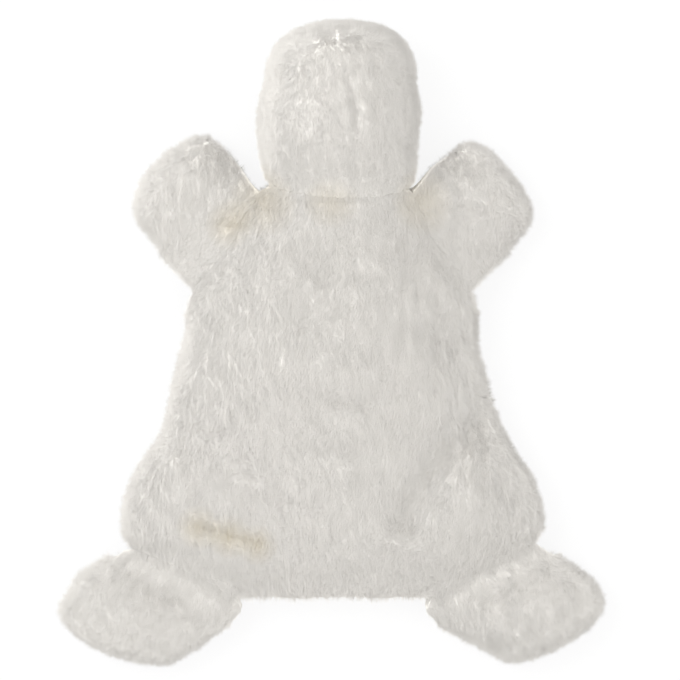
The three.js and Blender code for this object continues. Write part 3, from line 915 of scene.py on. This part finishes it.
class Wire:
    """A value in a node tree that can be added, multiplied, divided and taken from a number."""

    def __init__(self, shader, socket):
        self.shader = shader
        self.socket = socket

    def _math(self, operation, *values):
        return self.shader.node("ShaderNodeMath", {"operation": operation},
                                {i: value for i, value in enumerate(values)})

    def __add__(self, other):
        return self._math("ADD", self, other)

    def __rsub__(self, other):
        return self._math("SUBTRACT", other, self)

    def __mul__(self, other):
        return self._math("MULTIPLY", self, other)

    def __truediv__(self, other):
        return self._math("DIVIDE", self, other)

    __radd__ = __add__

    def clipped(self):
        return self.shader.node("ShaderNodeClamp", {}, {"Value": self})


class Shader:
    """A material's node tree, built from its Principled shader outwards."""

    def __init__(self, name):
        self.material = bpy.data.materials.new(name)
        self.material.use_nodes = True
        self.tree = self.material.node_tree
        self.principled = self.tree.nodes["Principled BSDF"]

    def node(self, kind, settings, values, output=0):
        node = self.tree.nodes.new(kind)
        for key, value in settings.items():
            setattr(node, key, value)
        for key, value in values.items():
            self._feed(node.inputs[key], value)
        return Wire(self, node.outputs[output])

    def _feed(self, socket, value):
        if isinstance(value, Wire):
            self.tree.links.new(value.socket, socket)
        elif socket.type == "RGBA" and len(value) == 3:
            socket.default_value = (*value, 1)
        else:
            socket.default_value = value

    def set(self, **values):
        for key, value in values.items():
            self._feed(self.principled.inputs[key.replace("_", " ")], value)

    def place(self):
        return self.node("ShaderNodeTexCoord", {}, {}, "Object")

    def stretched(self, scale):
        return self.node("ShaderNodeMapping", {}, {"Vector": self.place(), "Scale": scale})

    def noise(self, scale, detail=2.0, stretch=(1, 1, 1)):
        return self.node("ShaderNodeTexNoise", {}, {
            "Vector": self.stretched(stretch), "Scale": scale, "Detail": detail})

    def mix(self, factor, first, second):
        return self.node("ShaderNodeMix", {"data_type": "RGBA"}, {0: factor, 6: first, 7: second}, 2)

    def spot(self, place, radius):
        """1 at a place in metres, falling to 0 at a radius."""
        ends = {0: self.place(), 1: place}
        away = self.node("ShaderNodeVectorMath", {"operation": "DISTANCE"}, ends, "Value")
        return (1 - away / radius).clipped()

    def bump(self, height, strength, distance):
        return self.node("ShaderNodeBump", {}, {
            "Height": height, "Strength": strength, "Distance": distance})


@functools.cache
def finished():
    """The finishes, made once each."""
    return dict(
        cloth=plush_material("plush_cloth", deep=True), pile=plush_material("plush_pile", deep=False),
        lining=lining_material(), fibre=fibre_material(), bill=bill_material(), eye=eye_material(),
        washer=washer_material())


# Where painted shade darkens the plush to beige in its deep folds, and how far each patch reaches, in
# metres
FOLD_SHADE_SPOTS = (
    ((-0.032, 0.069, 0.024), 0.021),
    ((-0.050, 0.058, 0.024), 0.014),
    ((0.041, 0.068, 0.020), 0.020),
    ((-0.066, -0.092, 0.035), 0.012),
    ((-0.051, -0.096, 0.035), 0.012),
    ((-0.037, -0.100, 0.034), 0.011),
    ((0.0, 0.070, 0.034), 0.016),
)
FOLD_SHADE_MOST = 0.8
CLOUD_DIMMING = 0.93


def plush_material(name, deep):
    """Warm white plush: faint cloudy tone, and painted shade in a darker beige where the folds are deep."""
    plush = bpy.context.scene.plush
    shader = Shader(name)
    clouds = shader.noise(scale=60, detail=3, stretch=(1, 0.6, 1))
    specks = shader.noise(scale=900, stretch=(1, 0.35, 1))
    tone = clouds * 0.6 + specks * 0.4
    dim = tuple(c * CLOUD_DIMMING for c in plush.white)
    colour = shader.mix(tone, dim, tuple(plush.white))
    # Painted shade: darkens the plush to beige in its deep folds, where shade falls
    painted_fold_shade = shader.spot(*FOLD_SHADE_SPOTS[0])
    for place, radius in FOLD_SHADE_SPOTS[1:]:
        painted_fold_shade = painted_fold_shade + shader.spot(place, radius)
    patchy = 0.15 + clouds * 0.6 + specks * 0.7
    painted_fold_shade = (painted_fold_shade * patchy).clipped() * FOLD_SHADE_MOST
    colour = shader.mix(painted_fold_shade, colour, tuple(plush.beige))
    shader.set(Base_Color=colour, Roughness=0.95 if deep else 0.8, Specular_IOR_Level=0.15)
    if deep:
        knit = shader.noise(scale=1400, stretch=(1, 0.4, 1))
        shader.set(Normal=shader.bump(knit, strength=0.6, distance=0.0006))
    return shader.material


def lining_material():
    """Thin knit lining with fine rows."""
    shader = Shader("lining_knit")
    rows = shader.node("ShaderNodeTexWave", {"bands_direction": "X"}, {
        "Vector": shader.place(), "Scale": 420.0, "Distortion": 1.2, "Detail": 1.0}, 1)
    shader.set(Base_Color=shader.mix(rows, (0.70, 0.67, 0.60), (0.80, 0.77, 0.70)), Roughness=0.85,
               Normal=shader.bump(rows, strength=0.4, distance=0.0003))
    return shader.material


def fibre_material():
    """Polyester fibre filling."""
    shader = Shader("fibre_filling")
    strands = shader.noise(scale=700, detail=4, stretch=(1, 0.2, 0.5))
    shader.set(Base_Color=shader.mix(strands, (0.78, 0.78, 0.76), (0.9, 0.9, 0.88)), Roughness=0.95,
               Normal=shader.bump(strands, strength=0.7, distance=0.0008))
    return shader.material


def bill_material():
    """Short matte pile in a soft yellow orange."""
    shader = Shader("bill_cloth")
    nap = shader.noise(scale=1600, detail=3)
    patches = shader.noise(scale=90)
    colour = shader.mix(nap * 0.7 + patches * 0.3, (0.62, 0.33, 0.07), (0.80, 0.47, 0.13))
    shader.set(Base_Color=colour, Roughness=0.9,
               Normal=shader.bump(nap, strength=0.6, distance=0.0005))
    return shader.material


def eye_material():
    """Polished black plastic with the faintest haze."""
    shader = Shader("eye_plastic")
    haze = shader.noise(scale=300)
    shader.set(Base_Color=shader.mix(haze, (0.010, 0.010, 0.012), (0.022, 0.020, 0.022)),
               Roughness=haze * 0.08 + 0.06)
    return shader.material


def washer_material():
    """Moulded white nylon."""
    shader = Shader("washer_nylon")
    grain = shader.noise(scale=500)
    shader.set(Base_Color=shader.mix(grain, (0.76, 0.76, 0.73), (0.84, 0.84, 0.82)), Roughness=0.45)
    return shader.material


def dress(piece, finish):
    """Gives a piece its finish."""
    piece.data.materials.clear()
    piece.data.materials.append(finished()[finish])
    return piece


# Operators

# From where to where, out from its hinge, a limb's cloth bends
BEND_REACH = (-7, 12)
NECK_BEND_REACH = (-8, 16)


def blend_limb(piece, name):
    """Bakes where a piece stands into its mesh, and works out the span across the limb's root from the
    torso to the limb.
    """
    reach = NECK_BEND_REACH if name == "head" else BEND_REACH
    hinge, _, out = hinge_frame(name)
    start, end = (tuple((hinge + out * r) * MM) for r in reach)
    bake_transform(piece)


def dress_limb(name, nodes, around=128, length=1.0):
    """A limb's plush skin and the pile on it."""
    points, triangles = limb_form(name, skin_inset(), around)
    points = rest_on_surface(sculpt(name, points, triangles))
    uv = flat_map(triangles, around, (len(points) - 2) // around)
    skin = new_object(f"{name}_plush", points, triangles, uv)
    dress(skin, "cloth")
    blend_limb(skin, name)
    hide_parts(*nodes)
    for piece in grow_pile(name, points, triangles, length):
        dress(piece, "pile")
        blend_limb(piece, name)


# How finely the body's shell is made
SHELL_AROUND = 220
OUTER_RINGS = 170
INNER_RINGS = 110


class PUPPET_OT_torso(bpy.types.Operator):
    """Makes the slack body: its plush shell, open at the hem, and the pile on it"""
    bl_idname = "puppet.torso"
    bl_label = "Body plush"

    def execute(self, context):
        inset = skin_inset()
        hem = HEM_AT + inset
        within = inset + SHELL_WALL
        outside, faces = torso_layer(inset, hem, NECK_END, SHELL_AROUND, OUTER_RINGS)
        inside, _ = torso_layer(within, hem, NECK_END - SHELL_WALL, SHELL_AROUND, INNER_RINGS)
        outer_rings = outside[1:-1].reshape(-1, SHELL_AROUND, 3)
        inner_rings = inside[1:-1].reshape(-1, SHELL_AROUND, 3)
        rings = np.concatenate([outer_rings[::-1], inner_rings])
        points, shell = loft(rings, outside[-1], inside[-1])
        shell = shell[:, ::-1]
        skin = new_object("torso_plush", points, shell, flat_map(shell, SHELL_AROUND, len(rings)))
        dress(skin, "cloth")
        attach(skin, "torso")
        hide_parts("body_back_panel", "body_belly_panel")
        covered = faces[(faces > 0).all(axis=1)]
        for piece in grow_pile("torso", outside, covered):
            dress(piece, "pile")
            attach(piece, "torso")
        return {"FINISHED"}


class PUPPET_OT_head(bpy.types.Operator):
    """Makes the head's plush, with the seam over its crown"""
    bl_idname = "puppet.head"
    bl_label = "Head plush"

    def execute(self, context):
        nodes = ("head_back_left_panel", "head_back_right_panel", "face_panel")
        dress_limb("head", nodes, around=160, length=0.8)
        return {"FINISHED"}


class PUPPET_OT_wings(bpy.types.Operator):
    """Makes both wings' plush"""
    bl_idname = "puppet.wings"
    bl_label = "Wing plush"

    def execute(self, context):
        for name in ("wing_left", "wing_right"):
            dress_limb(name, (f"{name}_back_panel", f"{name}_under_panel"))
        return {"FINISHED"}


class PUPPET_OT_feet(bpy.types.Operator):
    """Makes both feet's plush"""
    bl_idname = "puppet.feet"
    bl_label = "Foot plush"

    def execute(self, context):
        for name in ("foot_left", "foot_right"):
            dress_limb(name, (f"{name}_top_panel", f"{name}_sole_panel"))
        return {"FINISHED"}


# Where the lining and the band lie in the body, in millimetres, and how finely they are made
LINING = dict(start=HEM_AT + 12.5, end=66, inset=4.9, wall=1.1)
HEM_BAND = dict(start=HEM_AT + 1.6, end=HEM_AT + 12, inset=4.7, wall=1.8)
BAG_AROUND = 120
BAG_RINGS = 60

# What the inner cloths were cut to, in metres and square metres
HEAD_POCKET_CUT = dict(flat=(0.070, 0.067), area=0.0044)
WING_POCKET_CUT = dict(flat=(0.058, 0.050), area=0.00275)


class PUPPET_OT_inside(bpy.types.Operator):
    """Makes the lining of the hand's room, the band inside the hem, the filling and the pockets"""
    bl_idname = "puppet.inside"
    bl_label = "Lining and filling"

    def execute(self, context):
        lining = self.bag("hand_lining", ("lining_back", "lining_belly"), **LINING)
        dress(lining, "lining")
        band = self.bag("hem_band", ("hem_facing",), **HEM_BAND)
        dress(band, "cloth")
        dress(frame["nodes"]["bill_filling"], "fibre")
        for name in LIMBS:
            fibre = self.bending(f"{name}_filling", f"{name}_fibre", name)
            dress(fibre, "fibre")
        cuts = {"head": HEAD_POCKET_CUT, "wing_left": WING_POCKET_CUT, "wing_right": WING_POCKET_CUT}
        for name, cut in cuts.items():
            pocket = self.bending(f"{name}_finger_pocket", f"{name}_pocket_cloth", name)
            dress(pocket, "lining")
        return {"FINISHED"}

    def bending(self, node, label, limb):
        """A piece in the form that it has in the frame."""
        source = frame["nodes"][node]
        source.data.calc_loop_triangles()
        points = np.array([source.matrix_world @ v.co for v in source.data.vertices]) / MM
        triangles = np.array([t.vertices[:] for t in source.data.loop_triangles])
        piece = new_object(label, points, triangles)
        blend_limb(piece, limb)
        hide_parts(node)
        return piece

    def bag(self, name, nodes, start, end, inset, wall):
        """A tube of cloth inside the body, with its two faces joined at both mouths."""
        depths = (inset, inset + wall)
        faces = [torso_layer(depth, start, end, BAG_AROUND, BAG_RINGS)[0] for depth in depths]
        outer, inner = (face[1:-1].reshape(-1, BAG_AROUND, 3) for face in faces)
        rings = np.concatenate([outer, inner[::-1]])
        points = rings.reshape(-1, 3)
        triangles = []
        for near in range(0, len(points), BAG_AROUND):
            triangles += between(near, (near + BAG_AROUND) % len(points), BAG_AROUND)
        triangles = np.vstack(triangles)
        uv = flat_map(triangles, BAG_AROUND, len(rings), first=0)
        piece = new_object(name, points, triangles, uv)
        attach(piece, "torso")
        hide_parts(*nodes)
        return piece


BILL_AROUND = 96


class PUPPET_OT_bill(bpy.types.Operator):
    """Makes the flat padded bill under the chin"""
    bl_idname = "puppet.bill"
    bl_label = "Bill"

    def execute(self, context):
        neck, _, out_of_neck = hinge_frame("head")
        root = neck + out_of_neck * BILL["root_out"]
        root[2] = BILL["height"]
        points, triangles = loft(*limb_rings(BILL, BILL["inset"], BILL_AROUND))
        points = standing(points, root, -out_of_neck)
        uv = flat_map(triangles, BILL_AROUND, (len(points) - 2) // BILL_AROUND)
        bill = new_object("bill_pad", rest_on_surface(points), triangles, uv)
        dress(bill, "bill")
        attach(bill, "head")
        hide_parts("bill_upper_panel", "bill_lower_panel")
        return {"FINISHED"}


class PUPPET_OT_eyes(bpy.types.Operator):
    """Dresses the eyes and the washers that hold them"""
    bl_idname = "puppet.eyes"
    bl_label = "Eyes"

    def execute(self, context):
        for side in ("left", "right"):
            dress(frame["nodes"][f"eye_{side}"], "eye")
            dress(frame["nodes"][f"eye_washer_{side}"], "washer")
        return {"FINISHED"}


# The stage, in metres
FLOOR_SIZE = 12
KEY_PLACE = (-0.80, 0.36, 1.15)
KEY_SIZE = 0.9
FILL_PLACE = (0.6, -0.5, 1.3)
FILL_SIZE = 1.4
FILL_SHARE = 0.2
PAPER_GLOW = 0.86
# The camera stands over the picture's middle and takes its view at the outline's height; its
# sensor is in millimetres
PICTURE_MIDDLE = (3.75 * MM, 1.0 * MM)
OUTLINE_HEIGHT = 12 * MM
SENSOR_WIDTH = 36
FARTHEST_SEEN = 20


class PUPPET_OT_stage(bpy.types.Operator):
    """Sets the pale floor, the lamps and the camera straight above"""
    bl_idname = "puppet.stage"
    bl_label = "Stage"

    def execute(self, context):
        scene = context.scene
        settings = scene.stage
        bpy.ops.object.select_all(action="DESELECT")
        bpy.ops.mesh.primitive_plane_add(size=FLOOR_SIZE, location=(0, 0, 0))
        floor = context.object
        floor.name = "floor"
        floor.data.materials.append(self.floor_material())
        self.lamp("key", KEY_PLACE, KEY_SIZE, settings.key_energy)
        self.lamp("soft_fill", FILL_PLACE, FILL_SIZE, settings.key_energy * FILL_SHARE)
        world = bpy.data.worlds.new("studio")
        scene.world = world
        world.use_nodes = True
        background = world.node_tree.nodes["Background"]
        background.inputs["Color"].default_value = (1, 1, 1, 1)
        background.inputs["Strength"].default_value = settings.fill_strength
        scene.view_settings.view_transform = "Standard"
        self.camera(scene, settings)
        return {"FINISHED"}

    def floor_material(self):
        """White paper that looks white to the camera and still keeps the object's shadow."""
        shader = Shader("floor_paper")
        shader.set(Base_Color=(0.86, 0.86, 0.86), Roughness=0.9, Specular_IOR_Level=0.0)
        glow = shader.node("ShaderNodeEmission", {}, {"Color": (1, 1, 1), "Strength": 1.0})
        rays = shader.node("ShaderNodeLightPath", {}, {}, "Is Camera Ray")
        surface = shader.node("ShaderNodeMixShader", {}, {
            0: rays * PAPER_GLOW, 1: Wire(shader, shader.principled.outputs[0]), 2: glow})
        output = shader.tree.nodes["Material Output"]
        shader.tree.links.new(surface.socket, output.inputs["Surface"])
        return shader.material

    def lamp(self, name, place, size, energy):
        light = bpy.data.lights.new(name, "AREA")
        light.energy = energy
        light.size = size
        lamp = bpy.data.objects.new(name, light)
        lamp.location = place
        lamp.rotation_euler = Vector(place).to_track_quat("Z", "Y").to_euler()
        bpy.context.scene.collection.objects.link(lamp)

    def camera(self, scene, settings):
        data = bpy.data.cameras.new("camera")
        camera = bpy.data.objects.new("camera", data)
        data.sensor_width = SENSOR_WIDTH
        data.lens = SENSOR_WIDTH * (settings.camera_height - OUTLINE_HEIGHT) / settings.view_width
        camera.location = (*PICTURE_MIDDLE, settings.camera_height)
        data.clip_end = FARTHEST_SEEN
        scene.collection.objects.link(camera)
        scene.camera = camera


class PUPPET_PT_panel(bpy.types.Panel):
    """The puppet's pieces, in the 3D view's sidebar"""
    bl_idname = "PUPPET_PT_panel"
    bl_label = "Plush duck puppet"
    bl_space_type = "VIEW_3D"
    bl_region_type = "UI"
    bl_category = "Puppet"

    def draw(self, context):
        for operator in OPERATORS:
            self.layout.operator(operator.bl_idname)
        for settings in (context.scene.plush, context.scene.stage):
            box = self.layout.box()
            for name in settings.__annotations__:
                box.prop(settings, name)


OPERATORS = (PUPPET_OT_torso, PUPPET_OT_head, PUPPET_OT_wings, PUPPET_OT_feet, PUPPET_OT_inside,
             PUPPET_OT_bill, PUPPET_OT_eyes, PUPPET_OT_stage)
CLASSES = (PlushSettings, StageSettings, *OPERATORS, PUPPET_PT_panel)


def register():
    for each in CLASSES:
        bpy.utils.register_class(each)
    bpy.types.Scene.plush = bpy.props.PointerProperty(type=PlushSettings)
    bpy.types.Scene.stage = bpy.props.PointerProperty(type=StageSettings)


def unregister():
    del bpy.types.Scene.stage
    del bpy.types.Scene.plush
    for each in reversed(CLASSES):
        bpy.utils.unregister_class(each)


def main():
    register()
    bpy.ops.puppet.stage()
    bpy.ops.puppet.torso()
    bpy.ops.puppet.head()
    bpy.ops.puppet.wings()
    bpy.ops.puppet.feet()
    bpy.ops.puppet.inside()
    bpy.ops.puppet.bill()
    bpy.ops.puppet.eyes()


if __name__ == "__main__":
    main()
